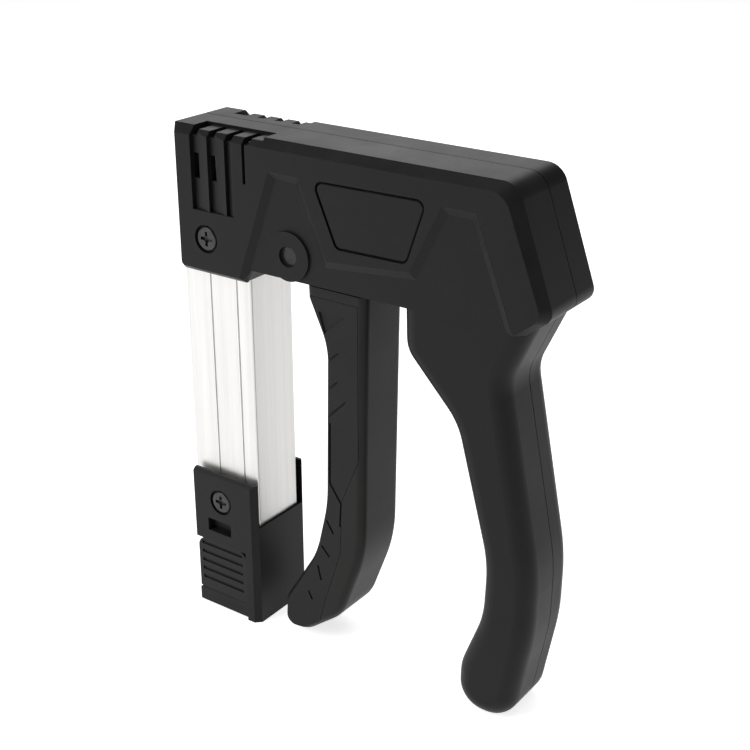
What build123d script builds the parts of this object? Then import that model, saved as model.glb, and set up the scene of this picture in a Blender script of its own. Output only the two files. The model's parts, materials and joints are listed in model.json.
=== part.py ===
# Hand-squeezed staple gun with an upright aluminium magazine, in millimetres.
# X runs from the nose to the handle, Y across the width, Z up from the surface it stands on.
# Positions below are counted from the body's front face (x) and the mid-plane (y); the tool
# stands on foot_z, and each saved piece is moved so that its standing plane is z 0.
from build123d import *
from math import atan2, degrees, hypot
import os

os.makedirs("parts", exist_ok=True)

# ---- driving dimensions: the plane it stands on, and the body casing
foot_z = 0.9
body_top = 194.9
body_bottom = 147.2
block_bottom = 141.7
body_length_top = 136.8
rear_lean = 14.2
rear_low_z = 155.0
rear_top_round = 7.5
rear_low_round = 4.5
half_width = 16.6
edge_chamfer = 3.0
wall = 2.4
seam_y = 2.1
seam_gap = 0.35
seam_depth = 0.8
relief_depth = 1.6
relief_slope = 2.7

# ---- handle
handle_half_width = 14.0
handle_round = 6.0
handle_wall = 2.6

# ---- magazine, cap and rail
magazine_front = -1.3
magazine_length = 31.1
magazine_half_width = 11.5
magazine_wall = 2.2
magazine_foot = 33.0
magazine_top = 162.0
cap_side_wall = 1.55
cap_plate = 2.3
cap_rear_top = 42.6
cap_plate_top = 61.0
cap_split = 31.0
rail_x = 4.0
rail_length = 9.2
rail_half_width = 4.6

# ---- trigger
pivot_x = 50.5
pivot_z = 155.8
pin_radius = 3.0
trigger_half_width = 11.5
hub_radius = 6.4
trigger_top = 145.4
hub_half_width = 7.6

# ---- striking mechanism
fire_z = 170.0
hammer_x = 62.0
hammer_length = 26.0
hammer_half_width = 6.4
hammer_bottom = 165.6
hammer_top = 184.4
hammer_travel = 12.0
spring_z = 175.0
seat_x = 128.0
lever_x = 96.0
lever_z = 158.0
lever_thickness = 2.0
lever_eye = 4.5
drag_pin_z = 180.5
drag_pin_radius = 2.0

# ---- clearances
running_gap = 0.05
slide_gap = 0.35
fit_gap = 0.15

# ---- sizes that follow from the ones above
magazine_rear = magazine_front + magazine_length
cap_half_width = magazine_half_width + fit_gap + cap_side_wall
block_length = magazine_rear + 0.2
room_top = body_top - wall - 0.4
arm_top = room_top - 8.9
bore_floor_x = hammer_x + 8.0

left = -1
right = 1


def to_side(face, y, amount):
    """A flat profile drawn in X and Z, set at y and thickened by amount along Y."""
    return extrude(at_depth(face, y), amount=-amount)


def at_depth(face, y):
    """A flat profile drawn in X and Z, placed at y."""
    return Plane(origin=(0, y, 0), x_dir=(1, 0, 0), z_dir=(0, -1, 0)) * face


def outline(points):
    return make_face(Polyline(*points, close=True))


def slab(face, y_low, y_high):
    return to_side(face, y_low, y_high - y_low)


def box_between(x, y, z):
    size = (x[1] - x[0], y[1] - y[0], z[1] - z[0])
    middle = ((x[0] + x[1]) / 2, (y[0] + y[1]) / 2, (z[0] + z[1]) / 2)
    return Pos(*middle) * Box(*size)


def across(x, z, radius, y_low, y_high):
    """A round bar along Y."""
    bar = Cylinder(radius, y_high - y_low, rotation=(90, 0, 0))
    return Pos(x, (y_low + y_high) / 2, z) * bar


def along(y, z, radius, x_low, x_high):
    """A round bar along X."""
    bar = Cylinder(radius, x_high - x_low, rotation=(0, 90, 0))
    return Pos((x_low + x_high) / 2, y, z) * bar


def both_sides(shape):
    return shape + mirror(shape, Plane.XZ)


def on_side(shape, side):
    """Shapes are drawn for the right side, +Y; the left ones are mirrored."""
    return shape if side == right else mirror(shape, Plane.XZ)


def save(node, shape):
    moved = Pos(-origin_x, 0, -foot_z) * shape
    solids = moved.solids()
    whole = solids[0] if len(solids) == 1 else Compound(children=list(solids))
    export_step(whole, f"parts/{node}.step")


# ---------------------------------------------------------------- casing profiles
def rear_x(z):
    """The sloping rear face, as x at a height."""
    return body_length_top + rear_lean * (body_top - z) / (body_top - rear_low_z)


def body_profile(inset=0.0):
    """The body's side outline; inset draws in its front, top and rear for the bevelled rim."""
    low = block_bottom + inset * 0.7
    rear_foot = rear_x(rear_low_z) - inset
    points = [
        (inset * 0.7, low),
        (block_length, low),
        (block_length + 3.8, body_bottom),
        (141.5 - inset, body_bottom + 0.6),
        (rear_foot, rear_low_z),
        (body_length_top - inset, body_top - inset),
        (inset * 0.7, body_top - inset),
    ]
    face = outline(points)
    top_corner = [v for v in face.vertices() if v.X > 100 and v.Y > body_top - inset - 0.1]
    face = fillet(top_corner, radius=rear_top_round)
    low_corner = [v for v in face.vertices() if v.X > rear_foot - 0.1]
    face = fillet(low_corner, radius=rear_low_round)
    front = [v for v in face.vertices() if v.X < 3 and v.Y < body_bottom]
    return fillet(front, radius=1.5)


def rounded_outline(start, corners, end):
    """A closed outline: each corner is (x, z, radius), joined by straight runs and tangent arcs."""
    points = [start] + [(x, z) for x, z, _ in corners] + [end]
    radii = [radius for _, _, radius in corners]
    path = FilletPolyline(*points, radius=radii)
    return make_face(Wire(list(path.edges()) + [Line(end, start)]))


def handle_profile():
    corners = [
        (95.4, 131.6, 11.0), (115.8, 110.0, 22.0), (128.8, 62.0, 50.0), (128.0, 40.0, 40.0),
        (119.8, 18.0, 18.0), (119.4, foot_z, 10.5), (140.9, foot_z, 11.0), (147.6, 38.0, 80.0),
        (147.9, 62.0, 80.0), (134.4, 129.0, 14.0),
    ]
    return rounded_outline((94.8, 152.0), corners, (145.0, 152.0))


def relief_profile():
    """The sunken field on each side: a peak behind the front block, a trough under
    the badge panel and a second peak that runs down into the handle."""
    return outline([
        (43.6, 184.3), (56.2, 184.3), (67.6, 157.6), (100.2, 160.6), (111.9, 184.2),
        (124.1, 184.2), (137.5, 150.0), (148.0, 132.0), (24.7, 132.0),
    ])


def relief_cut(side):
    outer = relief_profile()
    inner = offset(outer, amount=-relief_slope, kind=Kind.INTERSECTION)
    floor = at_depth(inner, half_width - relief_depth)
    cut = slab(outer, half_width, half_width + 0.5) + loft([at_depth(outer, half_width), floor], ruled=True)
    return on_side(cut, side)


def badge_profile(shrink=0.0):
    face = outline([(62.4, 184.0), (106.2, 184.6), (98.9, 163.4), (71.6, 163.0)])
    face = fillet(face.vertices(), radius=2.4)
    return offset(face, amount=-shrink) if shrink else face


def rear_most():
    body = body_profile().bounding_box().max.X
    return max(body, handle_profile().bounding_box().max.X)


origin_x = (magazine_front + rear_most()) / 2


# ---------------------------------------------------------------- vents
vent_count = 4
vent_start = 9.0
vent_pitch = 7.8
vent_low = 165.6
vent_depth = 1.5
vent_slot = 3.1
vent_inner_y = 7.0
vent_runs = [vent_pitch, vent_pitch, 3.4, 1.3]


def vent_cuts(side):
    """Overlapping louvres on the side, and open slots over the top edge."""
    cuts = []
    for i in range(vent_count):
        x = vent_start + i * vent_pitch
        low = vent_low if i < vent_count - 1 else 178.3
        outer = half_width + 1
        run = vent_runs[i]
        plan = outline([
            (x, outer), (x, half_width - vent_depth), (x + run, half_width - 0.05), (x + run, outer)])
        height = body_top - low + 1
        cuts.append(Pos(0, 0, low) * extrude(plan, amount=height))
        slot_low = body_top - edge_chamfer - 0.2
        cuts.append(box_between((x, x + vent_slot), (vent_inner_y, outer), (slot_low, body_top + 1)))
        ridge = (x + vent_slot - 0.1, x + vent_pitch + 0.1)
        cuts.append(box_between(ridge, (vent_inner_y, outer), (body_top - 1.0, body_top + 1)))
        if i < 2:
            window = (x + 0.3, x + 3.3)
            cuts.append(box_between(window, (half_width - wall - 3, outer), (176.8, 185.8)))
    whole = cuts[0]
    for cut in cuts[1:]:
        whole = whole + cut
    return on_side(whole, side)


# ---------------------------------------------------------------- casing
screw_spots = [(112.0, 154.5), (139.2, 168.5), (137.4, 74.0), (131.6, 15.5)]
boss_radius = 3.4
screw_radius = 1.5
head_radius = 3.0
disc_radius = 8.75
disc_height = 0.9
fixing_x = 14.4
magazine_screw_z = 155.5
fixing_ring = 5.2
fixing_head = 4.3


def casing_outer():
    """The whole closed outer form, before it is split and hollowed."""
    flat = half_width - edge_chamfer
    body = slab(body_profile(), -flat, flat)
    base = at_depth(body_profile(), flat)
    rim = at_depth(body_profile(edge_chamfer), half_width)
    bevel = loft([base, rim], ruled=True)
    body = body + both_sides(bevel)
    handle = slab(handle_profile(), -handle_half_width, handle_half_width)
    long_edges = [
        e for e in handle.edges()
        if abs(abs(e.center().Y) - handle_half_width) < 0.01 and e.center().Z < 140
    ]
    handle = fillet(long_edges, radius=handle_round)
    return body, handle


def casing_hollow():
    inside = half_width - relief_depth - wall
    room = outline([
        (wall, block_bottom - 1), (block_length + 0.4, block_bottom - 1),
        (block_length + 0.4, body_bottom - 1), (88.0, body_bottom - 1),
        (92.0, body_bottom + wall), (rear_x(rear_low_z) - 7.0, body_bottom + wall + 1.5),
        (rear_x(rear_low_z + 4) - 3.2, rear_low_z + 4),
        (body_length_top - 1.0, room_top), (wall, room_top),
    ])
    grip = offset(handle_profile(), amount=-handle_wall)
    low = slab(grip, -(handle_half_width - handle_wall), handle_half_width - handle_wall)
    low = low - box_between((60, 160), (-20, 20), (body_bottom + wall + 1, 200))
    neck = box_between((104, 128), (-9, 9), (body_bottom - 6, body_bottom + wall + 3))
    return slab(room, -inside, inside) + low + neck


def bosses():
    end_y = handle_half_width - 1.2
    posts = [across(x, z, boss_radius, -end_y, end_y) for x, z in screw_spots]
    whole = posts[0]
    for post in posts[1:]:
        whole = whole + post
    return whole


def casing():
    body, handle = casing_outer()
    for side in (left, right):
        body = body - relief_cut(side)
        body = body - vent_cuts(side)
        grooved = badge_profile(-0.5)
        pocket = slab(grooved, half_width - 1.2, half_width + 1)
        body = body - on_side(pocket, side)
        low_y = half_width - relief_depth
        disc = across(pivot_x, pivot_z, disc_radius, low_y - 0.5, low_y + disc_height)
        body = body + on_side(disc, side)
    shape = (body + handle) - casing_hollow()
    shape = shape + (bosses() & (body + handle))
    for side in (left, right):
        y_floor = magazine_half_width + fit_gap
        pillar = across(pivot_x, pivot_z, 5.6, hub_half_width + slide_gap, 13.5)
        shape = shape + on_side(pillar, side)
        ring = across(fixing_x, magazine_screw_z, fixing_ring, half_width - 1.5, half_width + 1)
        hole = across(fixing_x, magazine_screw_z, screw_radius + 0.2, y_floor - 1, half_width)
        shape = shape - on_side(ring + hole, side)
    shape = shape - across(pivot_x, pivot_z, pin_radius + 0.02, -20, 20)
    recess = both_sides(across(pivot_x, pivot_z, pin_radius + 0.7, half_width - 1.6, half_width + 1))
    shape = shape - recess
    for x, z in screw_spots:
        shape = shape - across(x, z, screw_radius, -9.0, 20)
        shape = shape - across(x, z, head_radius + 0.25, 10.2, 20)
    mouth_y = magazine_half_width + fit_gap
    mouth = box_between((-5, wall + 0.3), (-mouth_y, mouth_y), (block_bottom - 5, 190.4))
    seat = box_between(
        (-5, magazine_rear + fit_gap), (-mouth_y, mouth_y),
        (block_bottom - 5, magazine_top + fit_gap))
    return shape - mouth - seat


def seam_groove():
    body = body_profile()
    band_body = slab(body, seam_y - seam_gap / 2, seam_y + seam_gap / 2)
    core_body = slab(offset(body, amount=-seam_depth), seam_y - 1, seam_y + 1)
    handle = handle_profile()
    band_handle = slab(handle, seam_y - seam_gap / 2, seam_y + seam_gap / 2)
    core_handle = slab(offset(handle, amount=-seam_depth), seam_y - 1, seam_y + 1)
    return (band_body + band_handle) - (core_body + core_handle)


def build_shells():
    whole = casing() - seam_groove()
    left_half = box_between((-20, 200), (-40, seam_y), (-20, 250))
    right_half = box_between((-20, 200), (seam_y, 40), (-20, 250))
    save("left_shell", whole & left_half)
    save("right_shell", whole & right_half)


def build_badges():
    plate = slab(badge_profile(0.0), half_width - 1.2, half_width - 0.15)
    plate = chamfer(plate.faces().sort_by(Axis.Y)[-1].edges(), length=0.4)
    save("left_badge", on_side(plate, left))
    save("right_badge", plate)


# ---------------------------------------------------------------- screws
def cross_recess(radius, depth):
    bar = Box(radius * 1.25, radius * 0.3, depth)
    return bar + Rot(0, 0, 90) * bar + Cone(depth * 0.2, radius * 0.34, depth)


def pan_screw(head, head_height, shank, length):
    """A cross-recessed screw: head on top of z 0, shank below."""
    top = Pos(0, 0, head_height / 2) * Cylinder(head, head_height)
    top = fillet(top.edges().sort_by(Axis.Z)[-1:], radius=head_height * 0.45)
    body = top + Pos(0, 0, -length / 2) * Cylinder(shank, length)
    depth = head_height * 0.9
    return body - Pos(0, 0, head_height - depth / 2 + 0.01) * cross_recess(head, depth)


def facing_out(screw, x, y, z):
    """The head looks along +Y."""
    return Pos(x, y, z) * (Rot(-90, 0, 0) * screw)


def build_screws():
    screw = pan_screw(fixing_head, 1.3, screw_radius, 4.0)
    seat_y = half_width - 1.5
    pair = facing_out(screw, fixing_x, seat_y, magazine_screw_z)
    save("magazine_screws", both_sides(pair))
    cap_seat = cap_half_width + cap_plate - 1.3
    small = pan_screw(fixing_head, 1.1, screw_radius, 3.4)
    save("cap_screws", both_sides(facing_out(small, cap_screw_x, cap_seat, cap_screw_z)))
    long_screw = pan_screw(head_radius, 1.6, screw_radius - 0.02, 18.0)
    group = [facing_out(long_screw, x, 10.2, z) for x, z in screw_spots]
    save("shell_screws", Compound(children=group))


# ---------------------------------------------------------------- nose and striking mechanism
frame_front = 3.0
frame_rear = 112.0
frame_half_width = 8.4
frame_sheet = 1.2
frame_low = magazine_top + 0.9
frame_high = 188.0


def build_nose_plate():
    plate = box_between(
        (magazine_front, 1.0), (-magazine_half_width, magazine_half_width), (magazine_top + 0.2, 190.0))
    plate = fillet(plate.edges().filter_by(Axis.Z).sort_by(Axis.X)[0:2], radius=0.8)
    slot = box_between((-5, 5), (-6.1, 6.1), (fire_z - 1.1, fire_z + 1.1))
    tabs = both_sides(box_between((1.0, 6.0), (frame_half_width, frame_half_width + 1.4), (172, 186)))
    save("nose_plate", plate - slot + tabs)


def build_striker_frame():
    outer = box_between(
        (frame_front, frame_rear), (-frame_half_width, frame_half_width), (frame_low, frame_high))
    y = frame_half_width - frame_sheet
    inner = box_between(
        (frame_front - 1, frame_rear + 1), (-y, y), (frame_low + frame_sheet, frame_high - frame_sheet))
    shape = outer - inner
    under = box_between((60.0, 200), (-y, y), (frame_low - 1, frame_low + 2))
    feed = box_between((frame_front - 1, 16.5), (-y, y), (frame_low - 1, frame_low + 2))
    window_x = (hammer_x + hammer_length - 6.5, hammer_x + hammer_length + hammer_travel + 1.5)
    window = box_between(window_x, (-20, 20), (drag_pin_z - 2.6, drag_pin_z + 2.6))
    save("striker_frame", shape - under - feed - window)


def build_hammer():
    block = box_between(
        (hammer_x, hammer_x + hammer_length), (-hammer_half_width, hammer_half_width),
        (hammer_bottom, hammer_top))
    block = chamfer(block.edges().filter_by(Axis.Y), length=1.0)
    bore = along(0, spring_z, 3.45, bore_floor_x, hammer_x + hammer_length + 1)
    slot = box_between((hammer_x - 1, hammer_x + 10), (-5.4, 5.4), (fire_z - 0.6, fire_z + 0.6))
    pin_x = hammer_x + hammer_length - 3.4
    hole = across(pin_x, drag_pin_z + 0.2, drag_pin_radius, -20, 20)
    block = block - bore - slot - hole
    save("hammer", block)
    save("drag_pin", across(pin_x, drag_pin_z + 0.2, drag_pin_radius, -11.4, 11.4))
    blade = box_between((1.6, hammer_x + 10), (-5.4, 5.4), (fire_z - 0.6, fire_z + 0.6))
    save("driver_blade", chamfer(blade.edges().filter_by(Axis.Z), length=0.3))


def coil(radius, wire, height, turns):
    """A compression spring standing on z 0, its ends closed and ground flat."""
    pitch = (height - wire) / turns
    path = Helix(pitch=pitch, height=pitch * turns, radius=radius)
    start = path @ 0
    section = Plane(origin=start, z_dir=path % 0) * Circle(wire / 2)
    body = sweep(section, path=path, is_frenet=True)
    return Pos(0, 0, wire / 2) * body


def build_springs():
    gap = 0.4
    start = hammer_x + hammer_length + gap
    main = coil(4.9, 1.7, seat_x - start - gap, 8)
    save("main_spring", Pos(start, 0, spring_z) * (Rot(0, 90, 0) * main))
    rod = along(0, spring_z, 3.0, bore_floor_x + hammer_travel + 1.0, seat_x + 2)
    save("spring_guide", rod)
    seat = box_between((seat_x, seat_x + 5), (-10.6, 10.6), (164.5, 186.5))
    seat = seat - along(0, spring_z, 3.0, seat_x - 1, seat_x + 2)
    save("spring_seat", seat)


def build_bumper():
    pad = box_between((hammer_x - 6.0, hammer_x - 0.4), (-6.6, 6.6), (fire_z + 1.2, frame_high - frame_sheet))
    save("bumper", chamfer(pad.edges().filter_by(Axis.Z), length=0.8))


def lever_cheek():
    """One steel cheek: an eye, a low nose over the trigger and a tall arm before the drag pin."""
    eye = Pos(lever_x, lever_z) * Circle(lever_eye)
    low = outline([
        (lever_x + 1, lever_z - 5), (lever_x - 2, lever_z + 4), (82.4, 153.2), (79.0, 151.6), (81.0, 149.4)])
    tall = outline([
        (lever_x - 4.4, lever_z), (lever_x + 2.6, lever_z + 2.6), (76.6, arm_top), (72.0, arm_top),
        (72.0, arm_top - 2.8)])
    face = eye + low + tall
    return slab(face, 9.0, 9.0 + lever_thickness)


def build_cocking_lever():
    cheeks = both_sides(lever_cheek())
    bridge = across(lever_x, lever_z, lever_eye, -9.5, 9.5)
    bore = across(lever_x, lever_z, 2.5 + running_gap, -20, 20)
    save("cocking_lever", cheeks + bridge - bore)
    save("lever_pin", across(lever_x, lever_z, 2.5, -12.55, 12.55))


# ---------------------------------------------------------------- trigger
grip_pad = 1.3


def trigger_profile():
    corners = [
        (54.6, 141.0, 3.0), (62.2, 124.5, 25.0), (60.9, 62.0, 60.0), (55.6, 39.5, 40.0),
        (40.9, 15.5, 8.0), (40.2, 3.0, 5.2), (50.5, 3.2, 12.0), (67.0, 16.0, 18.0), (77.8, 45.0, 60.0),
    ]
    return rounded_outline((54.4, trigger_top), corners, (79.4, trigger_top))


def pad_profile():
    """The textured field on the trigger's side, inside a narrow border."""
    window = outline([
        (40, 142.0), (76.4, 142.0), (76.4, 84.0), (69.0, 66.0), (68.0, 44.0), (61.0, 22.0), (55, 0), (30, 0)])
    return offset(trigger_profile(), amount=-1.5) & window


slash_width = 0.9
upper_slashes = [
    ((62.4, 118.4), (68.1, 123.2)), ((62.7, 107.9), (67.5, 112.2)), ((63.4, 98.0), (70.9, 105.4)),
]
lower_slashes = [
    ((62.2, 55.7), (64.8, 51.6)), ((59.7, 44.3), (62.8, 41.1)), ((57.6, 35.0), (58.9, 29.8)),
    ((53.0, 22.3), (54.4, 19.7)),
]
pad_line = [(64.2, 95.5), (63.8, 71.9), (68.7, 64.8), (68.1, 55.6)]
pad_triangle = [(59.8, 137.1), (71.3, 137.1), (62.2, 129.2)]


def stroke(start, end):
    """A round-ended mark between two points of the side view."""
    (x, z), (u, w) = start, end
    bar = Pos((x + u) / 2, (z + w) / 2) * (Rot(0, 0, degrees(atan2(w - z, u - x))) * Rectangle(
        hypot(u - x, w - z), slash_width))
    tip = Circle(slash_width / 2)
    return bar + Pos(x, z) * tip + Pos(u, w) * tip


def pad_grooves():
    """Short slanted cuts up the front edge, one long cut down the middle and a triangle on top."""
    marks = upper_slashes + lower_slashes + list(zip(pad_line[:-1], pad_line[1:]))
    whole = outline(pad_triangle)
    for start, end in marks:
        whole = whole + stroke(start, end)
    return whole


def build_trigger():
    grip = slab(trigger_profile(), -trigger_half_width, trigger_half_width)
    rear_edges = [
        e for e in grip.edges()
        if abs(abs(e.center().Y) - trigger_half_width) < 0.01
        and e.center().X > 60 and e.center().Z < 140
    ]
    grip = fillet(rear_edges, radius=3.0)
    web = outline([
        (pivot_x - 4.5, pivot_z + 4), (pivot_x + 6, pivot_z + 2), (77.0, 147.4), (77.0, 142.0), (56.4, 142.0)])
    hub = across(pivot_x, pivot_z, hub_radius, -hub_half_width, hub_half_width)
    shape = grip + slab(web, -hub_half_width, hub_half_width) + hub
    shape = shape - across(pivot_x, pivot_z, pin_radius + running_gap, -20, 20)
    pocket = slab(pad_profile(), trigger_half_width - grip_pad, trigger_half_width + 1)
    save("trigger", shape - both_sides(pocket))
    pad = slab(offset(pad_profile(), amount=-0.12), trigger_half_width - grip_pad, trigger_half_width + 0.1)
    cut = slab(pad_grooves(), trigger_half_width - 0.55, trigger_half_width + 1)
    pad = pad - cut
    save("left_trigger_grip", on_side(pad, left))
    save("right_trigger_grip", pad)
    pin_end = half_width - 2.0
    save("trigger_pin", across(pivot_x, pivot_z, pin_radius, -pin_end, pin_end))


# ---------------------------------------------------------------- magazine
groove_x = (11.1, 23.4)


def build_magazine():
    y = magazine_half_width
    outer = box_between((magazine_front, magazine_rear), (-y, y), (magazine_foot, magazine_top))
    outer = fillet(outer.edges().filter_by(Axis.Z), radius=0.8)
    hollow = box_between(
        (magazine_front + magazine_wall, magazine_rear - magazine_wall),
        (-y + magazine_wall, y - magazine_wall), (magazine_foot - 1, magazine_top + 1))
    shape = outer - hollow
    for x in groove_x:
        line = box_between((x - 0.35, x + 0.35), (y - 0.5, y + 1), (0, 200))
        shape = shape - both_sides(line)
    for x, z in [(fixing_x, magazine_screw_z), (cap_screw_x, cap_screw_z)]:
        shape = shape - across(x, z, screw_radius, -20, 20)
    save("magazine_body", shape)


cap_front = 0.5
cap_rear = magazine_rear + 1.1
latch_rear = cap_rear - 5.9
cap_screw_x = fixing_x - 0.6
cap_screw_z = 49.5
latch_front = 0.3
latch_face = cap_half_width + 1.5


def build_end_cap():
    y = cap_half_width
    out_y = cap_half_width + cap_plate
    sleeve = box_between((cap_front - 3.2, cap_rear), (-y, y), (foot_z, cap_rear_top))
    plates = box_between((cap_front, cap_rear), (-out_y, out_y), (foot_z, cap_plate_top))
    plates = plates - box_between((-20, 60), (-y, y), (-5, 100))
    edges = plates.edges().filter_by(Axis.Z)
    outer = [e for e in edges if abs(abs(e.center().Y) - out_y) < 0.01 and e.center().X > 20]
    plates = chamfer(outer, length=2.2)
    shape = sleeve + plates
    shoulders = [
        e for e in shape.edges()
        if abs(e.center().Z - cap_plate_top) < 0.01 and abs(abs(e.center().Y) - out_y) < 0.01
    ]
    shape = chamfer(shoulders, length=1.2)
    inside = box_between(
        (magazine_front - fit_gap, magazine_rear + fit_gap),
        (-magazine_half_width - fit_gap, magazine_half_width + fit_gap), (magazine_foot, 100))
    lower = box_between(
        (magazine_front - 5, latch_rear + slide_gap), (-30, 30), (-5, cap_split))
    front_open = box_between((-20, magazine_front + 0.2), (-30, 30), (-5, 200))
    shape = shape - inside - lower - front_open
    bore = box_between(
        (magazine_front + magazine_wall, magazine_rear - magazine_wall),
        (-magazine_half_width + magazine_wall, magazine_half_width - magazine_wall), (-5, 100))
    shape = shape - bore
    for side in (left, right):
        ring = across(cap_screw_x, cap_screw_z, fixing_ring, out_y - 1.3, out_y + 1)
        slot = box_between((7.0, 18.5), (y - 0.6, out_y + 1), (35.6, 41.0))
        hole = across(cap_screw_x, cap_screw_z, screw_radius + 0.2, y - 3, out_y)
        shape = shape - on_side(ring + slot + hole, side)
    save("end_cap", shape)


plug_top = 24.0


def build_rail():
    top = magazine_top - 2.0
    rail_rear = rail_x + rail_length
    core_y = rail_half_width - 1.2
    rail = box_between((rail_x, rail_rear), (-rail_half_width, rail_half_width), (2.0, top))
    core = box_between((rail_x + 1.2, rail_rear - 1.2), (-core_y, core_y), (10, top + 1))
    rail = rail - core
    save("inner_rail", rail)
    block = box_between((latch_front, latch_rear), (-latch_face, latch_face), (foot_z, 7.6))
    block = chamfer(block.edges().filter_by(Axis.X) + block.edges().filter_by(Axis.Y), length=0.7)
    plug_y = magazine_half_width - magazine_wall - slide_gap
    plug = box_between((1.6, latch_rear), (-plug_y, plug_y), (7.0, plug_top))
    block = block + plug
    block = block - box_between((rail_x, rail_x + rail_length), (-rail_half_width, rail_half_width), (2.0, 100))
    save("rail_end_block", block)


rib_count = 5


def build_latches():
    """Ribbed thumb panels that push in to free the rail."""
    y_in = cap_half_width - 1.9
    y_out = latch_face
    panel = box_between((latch_front + 0.3, latch_rear - 0.2), (y_in, y_out), (8.0, cap_split - 0.5))
    corner = [e for e in panel.edges().filter_by(Axis.Y) if e.center().Z > 20]
    panel = fillet(corner, radius=4.0)
    pitch = (cap_split - 0.5 - 8.0 - 3.0) / rib_count
    for i in range(rib_count):
        z = 9.6 + i * pitch
        dip = box_between(
            (latch_front + 2.0, latch_rear - 2.0), (y_out - 0.6, y_out + 1), (z + pitch * 0.62, z + pitch))
        panel = panel - dip
    save("left_latch", on_side(panel, left))
    save("right_latch", panel)


def build_pusher():
    base = magazine_top - 18.0
    y = magazine_half_width - magazine_wall - slide_gap
    block = box_between((rail_x - 2.2, rail_x + rail_length + 9.0), (-y, y), (base, base + 14.0))
    g = slide_gap
    block = block - box_between(
        (rail_x - g, rail_x + rail_length + g), (-rail_half_width - g, rail_half_width + g), (0, 200))
    save("pusher", chamfer(block.edges().filter_by(Axis.Z).sort_by(Axis.X)[-2:], length=1.0))
    end_gap = 0.4
    spring = coil(2.9, 0.9, base - plug_top - 2 * end_gap, 22)
    save("pusher_spring", Pos(rail_x + rail_length + 5.0, 0, plug_top + end_gap) * spring)


def build_return_spring():
    """A torsion spring beside the hub: three turns and a tail against the casing."""
    turns = coil(hub_radius + 0.6, 1.0, 3.4, 2.5)
    start = -frame_half_width - slide_gap
    save("return_spring", Pos(pivot_x, start, pivot_z) * (Rot(90, 0, 0) * turns))


build_shells()
build_badges()
build_screws()
build_nose_plate()
build_striker_frame()
build_hammer()
build_springs()
build_bumper()
build_cocking_lever()
build_trigger()
build_magazine()
build_end_cap()
build_rail()
build_latches()
build_pusher()
build_return_spring()
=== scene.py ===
import json
import math

import bpy
import numpy as np
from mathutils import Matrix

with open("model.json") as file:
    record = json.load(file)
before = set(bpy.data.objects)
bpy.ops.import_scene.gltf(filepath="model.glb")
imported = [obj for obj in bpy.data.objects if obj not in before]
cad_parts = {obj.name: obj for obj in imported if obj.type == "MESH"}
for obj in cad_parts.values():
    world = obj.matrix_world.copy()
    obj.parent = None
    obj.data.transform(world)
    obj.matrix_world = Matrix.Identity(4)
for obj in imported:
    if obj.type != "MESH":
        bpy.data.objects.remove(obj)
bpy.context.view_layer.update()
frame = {"nodes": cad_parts, "record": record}
print("frame loaded:", len(frame["nodes"]), "nodes")

scene = bpy.context.scene


# ---- node helpers: every material is a tree built from these
def newMaterial(name):
    material = bpy.data.materials.new(name)
    material.use_nodes = True
    tree = material.node_tree
    tree.nodes.clear()
    out = tree.nodes.new("ShaderNodeOutputMaterial")
    shader = tree.nodes.new("ShaderNodeBsdfPrincipled")
    tree.links.new(shader.outputs["BSDF"], out.inputs["Surface"])
    return material, tree, shader


def newGroup(name, ins, outs):
    group = bpy.data.node_groups.new(name, "ShaderNodeTree")
    for label, kind, value in ins:
        socket = group.interface.new_socket(label, in_out="INPUT", socket_type=kind)
        if value is not None:
            socket.default_value = value
    for label, kind in outs:
        group.interface.new_socket(label, in_out="OUTPUT", socket_type=kind)
    return group, group.nodes.new("NodeGroupInput"), group.nodes.new("NodeGroupOutput")


def mathNode(tree, operation, first, second=None, clamp=False):
    node = tree.nodes.new("ShaderNodeMath")
    node.operation = operation
    node.use_clamp = clamp
    for i, value in enumerate((first, second)):
        if value is None:
            continue
        if isinstance(value, (int, float)):
            node.inputs[i].default_value = value
        else:
            tree.links.new(value, node.inputs[i])
    return node.outputs[0]


def rangeNode(tree, value, fromLow, fromHigh, toLow, toHigh):
    node = tree.nodes.new("ShaderNodeMapRange")
    node.clamp = True
    tree.links.new(value, node.inputs["Value"])
    ends = {"From Min": fromLow, "From Max": fromHigh, "To Min": toLow, "To Max": toHigh}
    for label, number in ends.items():
        if isinstance(number, (int, float)):
            node.inputs[label].default_value = number
        else:
            tree.links.new(number, node.inputs[label])
    return node.outputs["Result"]


def mixColour(tree, mask, low, high):
    node = tree.nodes.new("ShaderNodeMix")
    node.data_type = "RGBA"
    tree.links.new(mask, node.inputs["Factor"])
    for socket, colour in ((node.inputs[6], low), (node.inputs[7], high)):
        if isinstance(colour, tuple):
            socket.default_value = (*colour, 1.0)
        else:
            tree.links.new(colour, socket)
    return node.outputs[2]


def noiseNode(tree, vector, scale, detail=3.0, roughness=0.55):
    node = tree.nodes.new("ShaderNodeTexNoise")
    tree.links.new(vector, node.inputs["Vector"])
    if isinstance(scale, (int, float)):
        node.inputs["Scale"].default_value = scale
    else:
        tree.links.new(scale, node.inputs["Scale"])
    node.inputs["Detail"].default_value = detail
    node.inputs["Roughness"].default_value = roughness
    return node.outputs["Fac"]


def stretched(tree, vector, factors):
    node = tree.nodes.new("ShaderNodeMapping")
    tree.links.new(vector, node.inputs["Vector"])
    node.inputs["Scale"].default_value = factors
    return node.outputs["Vector"]


def objectCoords(tree):
    return tree.nodes.new("ShaderNodeTexCoord").outputs["Object"]


def useGroup(tree, group, **values):
    node = tree.nodes.new("ShaderNodeGroup")
    node.node_tree = group
    for label, value in values.items():
        if isinstance(value, (int, float, tuple)):
            node.inputs[label].default_value = value
        else:
            tree.links.new(value, node.inputs[label])
    return node.outputs


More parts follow.
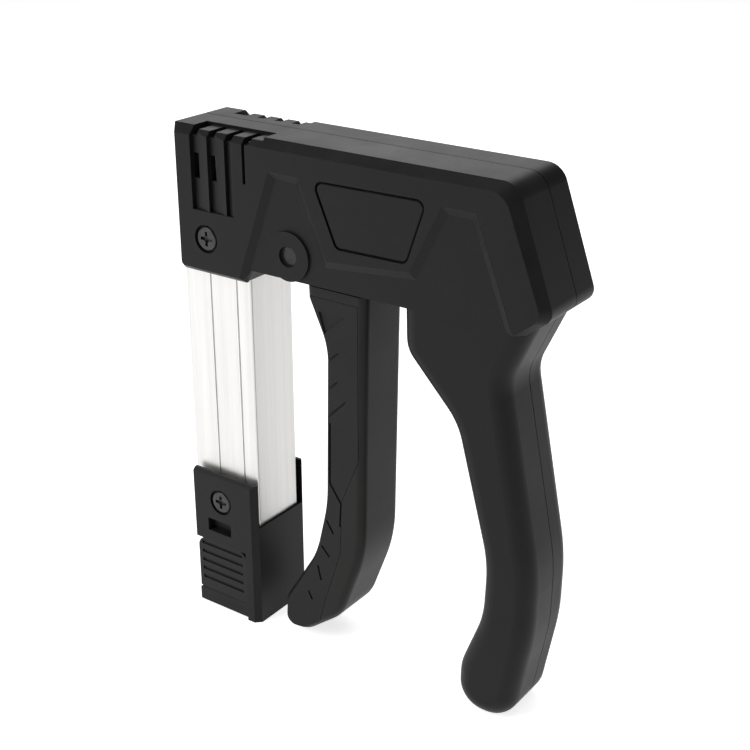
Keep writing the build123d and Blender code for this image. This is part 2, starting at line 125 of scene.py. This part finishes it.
def bumpInto(tree, shader, height, strength, distance):
    node = tree.nodes.new("ShaderNodeBump")
    node.inputs["Strength"].default_value = strength
    node.inputs["Distance"].default_value = distance
    tree.links.new(height, node.inputs["Height"])
    tree.links.new(node.outputs["Normal"], shader.inputs["Normal"])


# ---- shared effects
grainSet = {"scale": 2600.0, "coarseRatio": 0.37, "fineShare": 0.6, "coarseShare": 0.4, "cloudScale": 34.0}


def makeMouldGrain():
    # fine spark-eroded skin: small cells of two sizes added together, plus slow shade changes
    group, inNode, outNode = newGroup(
        "mouldGrain",
        [("Vector", "NodeSocketVector", None), ("Scale", "NodeSocketFloat", grainSet["scale"])],
        [("Height", "NodeSocketFloat"), ("Cloud", "NodeSocketFloat")])
    vector = inNode.outputs["Vector"]
    fine = noiseNode(group, vector, inNode.outputs["Scale"], 2.0, 0.6)
    coarseScale = mathNode(group, "MULTIPLY", inNode.outputs["Scale"], grainSet["coarseRatio"])
    coarse = noiseNode(group, vector, coarseScale, 2.0, 0.5)
    finePart = mathNode(group, "MULTIPLY", fine, grainSet["fineShare"])
    coarsePart = mathNode(group, "MULTIPLY", coarse, grainSet["coarseShare"])
    height = mathNode(group, "ADD", finePart, coarsePart)
    group.links.new(height, outNode.inputs["Height"])
    group.links.new(noiseNode(group, vector, grainSet["cloudScale"], 4.0, 0.6), outNode.inputs["Cloud"])
    return group


rubSet = {"width": 0.0006, "turnLow": 0.015, "turnHigh": 0.16, "patchScale": 210.0}


def makeEdgeRub():
    # where the rounded normal leaves the true one there is an edge; noise breaks the line up
    group, inNode, outNode = newGroup(
        "edgeRub",
        [("Vector", "NodeSocketVector", None), ("Width", "NodeSocketFloat", rubSet["width"]),
         ("Amount", "NodeSocketFloat", 1.0)],
        [("Mask", "NodeSocketFloat")])
    bevel = group.nodes.new("ShaderNodeBevel")
    bevel.samples = 4
    group.links.new(inNode.outputs["Width"], bevel.inputs["Radius"])
    geometry = group.nodes.new("ShaderNodeNewGeometry")
    dot = group.nodes.new("ShaderNodeVectorMath")
    dot.operation = "DOT_PRODUCT"
    group.links.new(bevel.outputs["Normal"], dot.inputs[0])
    group.links.new(geometry.outputs["Normal"], dot.inputs[1])
    turned = mathNode(group, "SUBTRACT", 1.0, dot.outputs["Value"])
    edge = rangeNode(group, turned, rubSet["turnLow"], rubSet["turnHigh"], 0.0, 1.0)
    patchNoise = noiseNode(group, inNode.outputs["Vector"], rubSet["patchScale"], 4.0, 0.65)
    patches = rangeNode(group, patchNoise, 0.38, 0.62, 0.15, 1.0)
    worn = mathNode(group, "MULTIPLY", edge, patches)
    group.links.new(mathNode(group, "MULTIPLY", worn, inNode.outputs["Amount"], True), outNode.inputs["Mask"])
    return group


dustTopLightSet = {"cloudScale": 95.0, "speckScale": 1500.0, "speckShare": 0.25, "upLow": 0.25}


def makeDustAndTopLight():
    # dust settles on faces that look up, thickest where a slow noise is high; the pale colour on up-facing
    # faces is also painted top light, lightening the tops as a lamp above would
    group, inNode, outNode = newGroup(
        "dustAndTopLight",
        [("Vector", "NodeSocketVector", None), ("Amount", "NodeSocketFloat", 0.3)],
        [("Mask", "NodeSocketFloat")])
    geometry = group.nodes.new("ShaderNodeNewGeometry")
    split = group.nodes.new("ShaderNodeSeparateXYZ")
    group.links.new(geometry.outputs["Normal"], split.inputs[0])
    up = rangeNode(group, split.outputs["Z"], dustTopLightSet["upLow"], 1.0, 0.0, 1.0)
    vector = inNode.outputs["Vector"]
    cloud = rangeNode(group, noiseNode(group, vector, dustTopLightSet["cloudScale"], 6.0, 0.62), 0.35, 0.75, 0.2, 1.0)
    speck = rangeNode(group, noiseNode(group, vector, dustTopLightSet["speckScale"], 2.0, 0.5), 0.6, 0.72, 0.0, 1.0)
    specks = mathNode(group, "MULTIPLY", speck, dustTopLightSet["speckShare"])
    dustTopLightFilm = mathNode(group, "ADD", mathNode(group, "MULTIPLY", up, cloud), specks)
    group.links.new(mathNode(group, "MULTIPLY", dustTopLightFilm, inNode.outputs["Amount"], True), outNode.inputs["Mask"])
    return group


lineSet = {"fineScale": 2100.0, "wideScale": 320.0, "fineShare": 0.45, "wideShare": 0.55}


def makeDrawLines():
    # streaks: noise read at two widths; the material stretches the vector along the lines
    group, inNode, outNode = newGroup(
        "drawLines",
        [("Vector", "NodeSocketVector", None)],
        [("Height", "NodeSocketFloat"), ("Streak", "NodeSocketFloat")])
    vector = inNode.outputs["Vector"]
    fine = noiseNode(group, vector, lineSet["fineScale"], 3.0, 0.7)
    wide = noiseNode(group, vector, lineSet["wideScale"], 3.0, 0.5)
    group.links.new(fine, outNode.inputs["Height"])
    finePart = mathNode(group, "MULTIPLY", fine, lineSet["fineShare"])
    widePart = mathNode(group, "MULTIPLY", wide, lineSet["wideShare"])
    both = mathNode(group, "ADD", finePart, widePart)
    group.links.new(both, outNode.inputs["Streak"])
    return group


mouldGrain = makeMouldGrain()
edgeRub = makeEdgeRub()
dustAndTopLight = makeDustAndTopLight()
drawLines = makeDrawLines()
print("shared effects ready")


bumpDepth = 0.0001       # metres, the same for every surface


# ---- plastics
def mouldedPlastic(name, look):
    material, tree, shader = newMaterial(name)
    coords = objectCoords(tree)
    grain = useGroup(tree, mouldGrain, Vector=coords, Scale=look["grainScale"])
    rub = useGroup(tree, edgeRub, Vector=coords, Width=look["edgeWidth"], Amount=look["edgeAmount"])["Mask"]
    # painted top light: the dust mask lightens up-facing faces with a pale colour, partly real dust and partly
    # painted light from above
    dustTopLight = useGroup(tree, dustAndTopLight, Vector=coords, Amount=look["dustTopLight"])["Mask"]
    cloud = rangeNode(tree, grain["Cloud"], 0.3, 0.7, 0.0, 1.0)
    base = mixColour(tree, cloud, look["deep"], look["pale"])
    worn = mixColour(tree, rub, base, look["edge"])
    dustTopLitColour = mixColour(tree, dustTopLight, worn, look["dustTopLightColour"])
    tree.links.new(dustTopLitColour, shader.inputs["Base Color"])
    rough = rangeNode(tree, grain["Cloud"], 0.3, 0.7, look["rough"] - 0.04, look["rough"] + 0.05)
    smoothEdge = mathNode(tree, "MULTIPLY", rub, -0.12)
    tree.links.new(mathNode(tree, "ADD", rough, smoothEdge, True), shader.inputs["Roughness"])
    shader.inputs["Specular IOR Level"].default_value = look["specular"]
    bumpInto(tree, shader, grain["Height"], look["bump"], bumpDepth)
    return material


# the dust colour and amount give real dust plus painted top light on up-facing faces
casingLook = {
    "deep": (0.0050, 0.0050, 0.0058), "pale": (0.0080, 0.0080, 0.0090), "edge": (0.022, 0.022, 0.024),
    "dustTopLightColour": (0.060, 0.058, 0.055), "grainScale": 2600.0, "edgeWidth": 0.0005, "edgeAmount": 0.55,
    "dustTopLight": 0.20, "rough": 0.45, "specular": 0.15, "bump": 0.22,
}
capLook = dict(casingLook, deep=(0.0046, 0.0046, 0.0052), pale=(0.0075, 0.0075, 0.0082), rough=0.43)
latchLook = dict(casingLook, deep=(0.0095, 0.0095, 0.0110), pale=(0.0140, 0.0140, 0.0155), rough=0.50)
triggerLook = dict(
    casingLook, deep=(0.0075, 0.0069, 0.0066), pale=(0.0120, 0.0112, 0.0106), edge=(0.030, 0.028, 0.027),
    grainScale=1900.0, rough=0.44, bump=0.12, dustTopLight=0.14)
gripLook = dict(
    casingLook, deep=(0.0095, 0.0095, 0.0105), pale=(0.0150, 0.0150, 0.0165), grainScale=1700.0,
    rough=0.58, bump=0.35, dustTopLight=0.18)
nylonLook = dict(casingLook, deep=(0.014, 0.014, 0.014), pale=(0.022, 0.022, 0.022), rough=0.52)
rubberLook = dict(casingLook, deep=(0.010, 0.010, 0.010), pale=(0.016, 0.016, 0.016), rough=0.72, bump=0.4)


# ---- badge: satin lacquer with faint wiping haze
badgeLook = {
    "deep": (0.0040, 0.0040, 0.0050), "pale": (0.0060, 0.0060, 0.0072), "rough": 0.30, "specular": 0.15,
    "hazeScale": 120.0, "hazeStretch": (1.0, 1.0, 3.2), "bump": 0.04,
}


def lacquer(name):
    material, tree, shader = newMaterial(name)
    coords = objectCoords(tree)
    haze = noiseNode(tree, stretched(tree, coords, badgeLook["hazeStretch"]), badgeLook["hazeScale"], 5.0, 0.6)
    mask = rangeNode(tree, haze, 0.35, 0.7, 0.0, 1.0)
    tree.links.new(mixColour(tree, mask, badgeLook["deep"], badgeLook["pale"]), shader.inputs["Base Color"])
    rough = rangeNode(tree, haze, 0.3, 0.7, badgeLook["rough"] - 0.03, badgeLook["rough"] + 0.08)
    tree.links.new(rough, shader.inputs["Roughness"])
    shader.inputs["Specular IOR Level"].default_value = badgeLook["specular"]
    bumpInto(tree, shader, noiseNode(tree, coords, 900.0, 2.0, 0.5), badgeLook["bump"], bumpDepth)
    return material


# ---- metals
def drawnMetal(name, look):
    material, tree, shader = newMaterial(name)
    coords = objectCoords(tree)
    lines = useGroup(tree, drawLines, Vector=stretched(tree, coords, look["stretch"]))
    rub = useGroup(tree, edgeRub, Vector=coords, Width=look["edgeWidth"], Amount=look["edgeAmount"])["Mask"]
    streak = rangeNode(tree, lines["Streak"], 0.34, 0.66, 0.0, 1.0)
    base = mixColour(tree, streak, look["deep"], look["pale"])
    tree.links.new(mixColour(tree, rub, base, look["edge"]), shader.inputs["Base Color"])
    rough = rangeNode(tree, lines["Streak"], 0.3, 0.7, look["rough"] - 0.06, look["rough"] + 0.07)
    tree.links.new(rough, shader.inputs["Roughness"])
    shader.inputs["Metallic"].default_value = look["metallic"]
    bumpInto(tree, shader, lines["Height"], look["bump"], bumpDepth)
    return material


aluminiumLook = {
    "deep": (0.600, 0.592, 0.578), "pale": (0.725, 0.720, 0.708), "edge": (0.95, 0.95, 0.95), "rough": 0.38,
    "metallic": 0.82, "bump": 0.10, "stretch": (1.0, 1.0, 0.012), "edgeWidth": 0.0004, "edgeAmount": 0.5,
}
zincLook = dict(aluminiumLook, deep=(0.46, 0.47, 0.49), pale=(0.60, 0.61, 0.63), edge=(0.75, 0.75, 0.75),
                metallic=1.0, rough=0.36, stretch=(0.03, 1.0, 1.0), bump=0.15)
steelLook = dict(zincLook, deep=(0.50, 0.50, 0.50), pale=(0.66, 0.66, 0.65), rough=0.27)
springLook = dict(zincLook, deep=(0.30, 0.30, 0.31), pale=(0.44, 0.44, 0.45), rough=0.34,
                  stretch=(1.0, 1.0, 1.0))
blackenedLook = dict(zincLook, deep=(0.020, 0.020, 0.022), pale=(0.040, 0.040, 0.042),
                     edge=(0.20, 0.20, 0.20), metallic=0.7, rough=0.40,
                     stretch=(1.0, 0.05, 1.0), edgeAmount=0.8)
screwLook = dict(blackenedLook, deep=(0.026, 0.026, 0.028), pale=(0.052, 0.052, 0.054), rough=0.36,
                 stretch=(1.0, 1.0, 1.0), edge=(0.14, 0.14, 0.14))

finishes = {
    "black_casing": mouldedPlastic("blackCasing", casingLook),
    "badge_plate": lacquer("badgeLacquer"),
    "cap_plastic": mouldedPlastic("capPlastic", capLook),
    "latch_plastic": mouldedPlastic("latchPlastic", latchLook),
    "trigger_plastic": mouldedPlastic("triggerPlastic", triggerLook),
    "grip_rubber": mouldedPlastic("gripRubber", gripLook),
    "black_nylon": mouldedPlastic("blackNylon", nylonLook),
    "rubber_pad": mouldedPlastic("rubberPad", rubberLook),
    "satin_aluminium": drawnMetal("satinAluminium", aluminiumLook),
    "zinc_sheet": drawnMetal("zincSheet", zincLook),
    "bright_steel": drawnMetal("brightSteel", steelLook),
    "spring_steel": drawnMetal("springSteel", springLook),
    "blackened_steel": drawnMetal("blackenedSteel", blackenedLook),
    "black_screw": drawnMetal("blackScrew", screwLook),
}
slotOf = {part["node"]: part["material_slot"] for part in frame["record"]["subparts"]}
for nodeName, piece in frame["nodes"].items():
    piece.data.materials.clear()
    piece.data.materials.append(finishes[slotOf[nodeName]])
print("materials on", len(frame["nodes"]), "nodes")


# ---- camera
cameraSet = {"azimuth": 35.42, "elevation": 23.645, "lens": 65.24, "place": (0.2525, -0.3537, 0.3022)}


def makeCamera():
    data = bpy.data.cameras.new("studioCamera")
    data.lens = cameraSet["lens"]
    data.sensor_width = 36.0
    data.clip_start = 0.01
    data.clip_end = 50.0
    camera = bpy.data.objects.new("studioCamera", data)
    camera.location = cameraSet["place"]
    tilt = math.radians(90.0 - cameraSet["elevation"])
    camera.rotation_euler = (tilt, 0.0, math.radians(cameraSet["azimuth"]))
    scene.collection.objects.link(camera)
    scene.camera = camera


# ---- studio
studioSet = {
    "floorSize": 12.0, "floorColour": (0.93, 0.93, 0.93), "floorGlow": 0.74,
    "world": 0.10,
    "lights": [
        {"name": "keyBox", "place": (-0.70, -1.00, 0.80), "aim": (0.0, 0.0, 0.10),
         "size": (0.9, 0.9), "power": 11.5},
        {"name": "fillBox", "place": (1.20, -0.10, 0.65), "aim": (0.0, 0.0, 0.10),
         "size": (0.6, 0.9), "power": 2.5},
        {"name": "backBox", "place": (-0.80, 1.12, 0.80), "aim": (0.0, 0.0, 0.15),
         "size": (1.2, 0.8), "power": 6.0},
        {"name": "topBox", "place": (0.05, 0.10, 1.20), "aim": (0.0, 0.0, 0.10),
         "size": (1.1, 1.1), "power": 5.0},
    ],
}


def makeFloor():
    half = studioSet["floorSize"] / 2
    mesh = bpy.data.meshes.new("studioFloor")
    corners = [(-half, -half, 0), (half, -half, 0), (half, half, 0), (-half, half, 0)]
    mesh.from_pydata(corners, [], [(0, 1, 2, 3)])
    floor = bpy.data.objects.new("studioFloor", mesh)
    scene.collection.objects.link(floor)
    material, tree, shader = newMaterial("floorPaper")
    cloud = rangeNode(tree, noiseNode(tree, objectCoords(tree), 3.0, 3.0, 0.5), 0.3, 0.7, 0.0, 1.0)
    pale = studioSet["floorColour"]
    tree.links.new(mixColour(tree, cloud, pale, tuple(c * 0.995 for c in pale)), shader.inputs["Base Color"])
    shader.inputs["Roughness"].default_value = 0.9
    shader.inputs["Specular IOR Level"].default_value = 0.1
    shader.inputs["Emission Color"].default_value = (1.0, 1.0, 1.0, 1.0)
    shader.inputs["Emission Strength"].default_value = studioSet["floorGlow"]
    mesh.materials.append(material)


def aimAt(thing, target):
    away = np.array(thing.location) - np.array(target)
    flat = math.hypot(away[0], away[1])
    thing.rotation_euler = (math.atan2(flat, away[2]), 0.0, math.atan2(away[0], -away[1]))


def makeLights():
    for lamp in studioSet["lights"]:
        data = bpy.data.lights.new(lamp["name"], "AREA")
        data.shape = "RECTANGLE"
        data.size, data.size_y = lamp["size"]
        data.energy = lamp["power"]
        light = bpy.data.objects.new(lamp["name"], data)
        light.location = lamp["place"]
        aimAt(light, lamp["aim"])
        scene.collection.objects.link(light)
    world = bpy.data.worlds.new("studioWorld")
    world.use_nodes = True
    back = world.node_tree.nodes["Background"]
    back.inputs["Color"].default_value = (1.0, 1.0, 1.0, 1.0)
    back.inputs["Strength"].default_value = studioSet["world"]
    scene.world = world


makeCamera()
makeFloor()
makeLights()
scene.view_settings.view_transform = "Standard"
print("camera, floor and lights ready")
